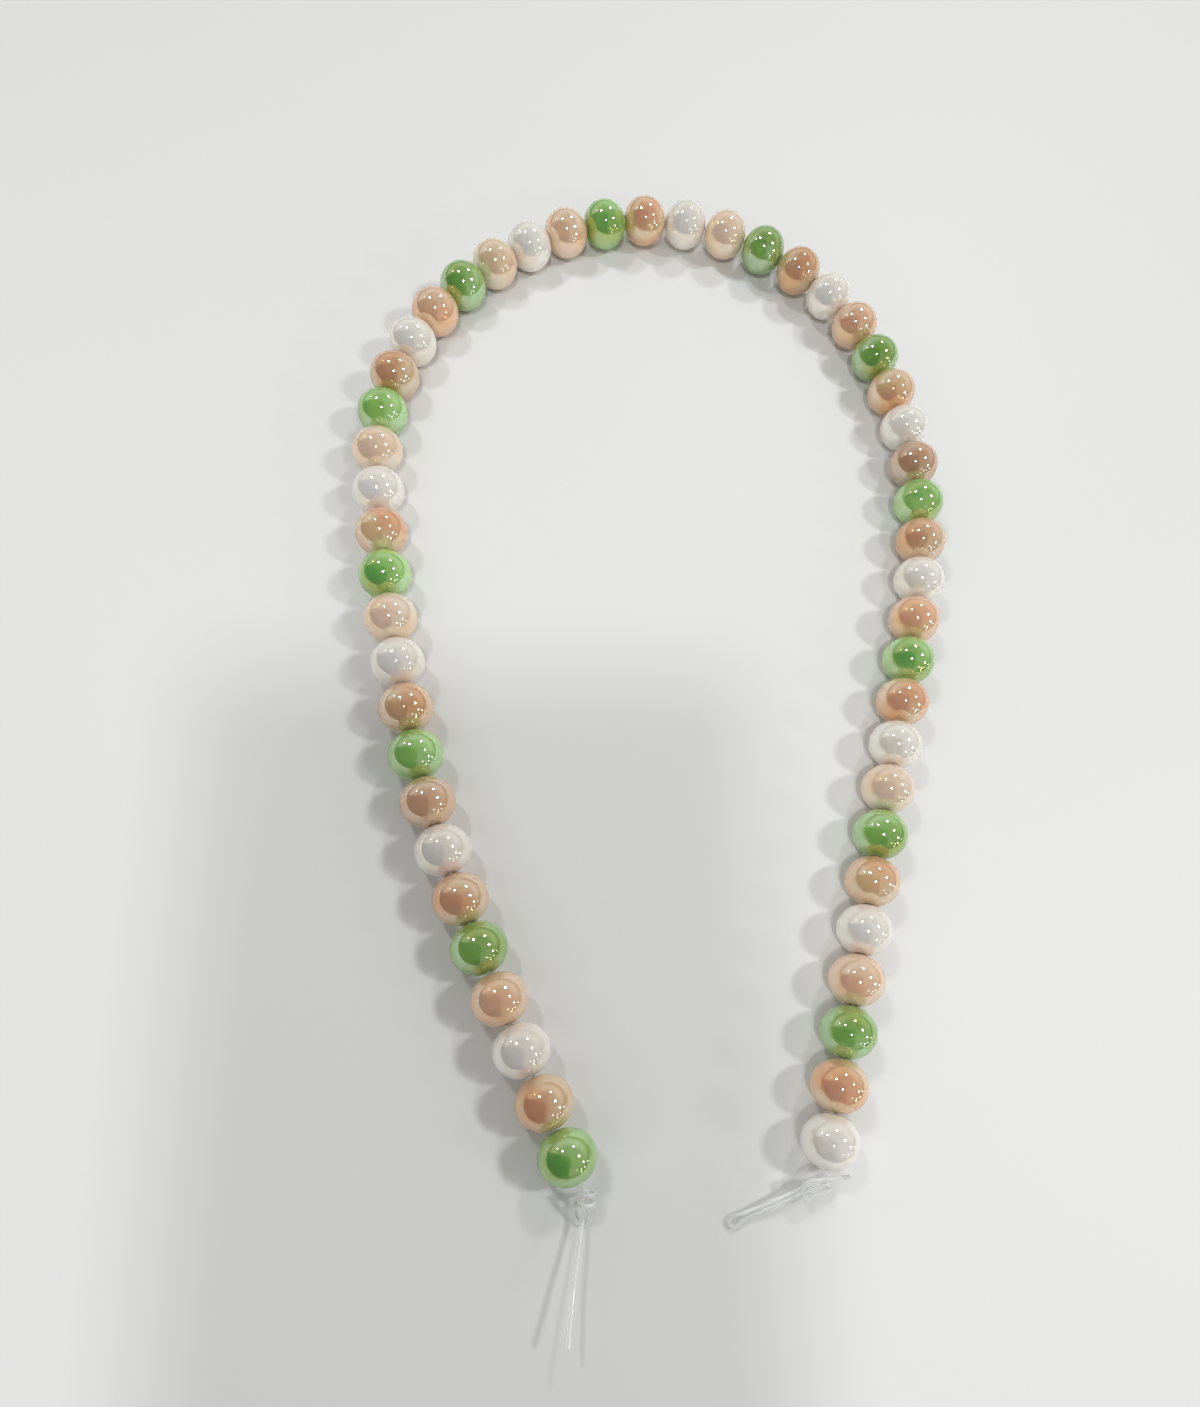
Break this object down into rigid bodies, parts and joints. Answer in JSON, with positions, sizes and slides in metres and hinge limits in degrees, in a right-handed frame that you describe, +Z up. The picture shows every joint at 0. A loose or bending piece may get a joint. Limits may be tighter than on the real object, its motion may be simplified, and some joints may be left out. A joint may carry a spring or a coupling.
{
  "type": "beaded necklace strand",
  "caption": "Open necklace strand of round opaque glass beads in green, rose, pearl and peach on a clear nylon line knotted at both ends, laid out in a U.",
  "frame": {"origin": "on the surface that the beads lie on, at the centre of the rectangle round the row of beads", "axes": "+Z up from the surface; +Y from the two ends of the strand towards the crown of the U; +X to the right, seen from above with the ends towards the viewer"},
  "size_m": [0.0964, 0.1822, 0.008],
  "materials": {
    "glass_green": "opaque fresh green pressed glass with a glossy rainbow plating",
    "glass_rose": "opaque rose-brown pressed glass with a glossy rainbow plating",
    "glass_pearl": "opaque white pressed glass with a glossy pearly plating",
    "glass_peach": "opaque peach pressed glass with a glossy rainbow plating",
    "nylon_line": "clear, glossy nylon monofilament"
  },
  "bodies": {
    "root": {"bead_01_green": "glass_green", "bead_02_rose": "glass_rose", "bead_03_pearl": "glass_pearl", "bead_04_peach": "glass_peach", "bead_05_green": "glass_green", "bead_06_rose": "glass_rose", "bead_07_pearl": "glass_pearl", "bead_08_peach": "glass_peach", "bead_09_green": "glass_green", "bead_10_rose": "glass_rose", "bead_11_pearl": "glass_pearl", "bead_12_peach": "glass_peach", "bead_13_green": "glass_green", "bead_14_rose": "glass_rose", "bead_15_pearl": "glass_pearl", "bead_16_peach": "glass_peach", "bead_17_green": "glass_green", "bead_18_rose": "glass_rose", "bead_19_pearl": "glass_pearl", "bead_20_peach": "glass_peach", "bead_21_green": "glass_green", "bead_22_rose": "glass_rose", "bead_23_pearl": "glass_pearl", "bead_24_peach": "glass_peach", "bead_25_green": "glass_green", "bead_26_rose": "glass_rose", "bead_27_pearl": "glass_pearl", "bead_28_peach": "glass_peach", "bead_29_green": "glass_green", "bead_30_rose": "glass_rose", "bead_31_pearl": "glass_pearl", "bead_32_peach": "glass_peach", "bead_33_green": "glass_green", "bead_34_rose": "glass_rose", "bead_35_pearl": "glass_pearl", "bead_36_peach": "glass_peach", "bead_37_green": "glass_green", "bead_38_rose": "glass_rose", "bead_39_pearl": "glass_pearl", "bead_40_peach": "glass_peach", "bead_41_green": "glass_green", "bead_42_rose": "glass_rose", "bead_43_pearl": "glass_pearl", "bead_44_peach": "glass_peach", "bead_45_green": "glass_green", "bead_46_rose": "glass_rose", "bead_47_pearl": "glass_pearl", "bead_48_peach": "glass_peach", "bead_49_green": "glass_green", "bead_50_rose": "glass_rose", "bead_51_pearl": "glass_pearl", "line_in_beads": "nylon_line", "line_end_left": "nylon_line", "line_end_right": "nylon_line"}
  },
  "joints": []
}
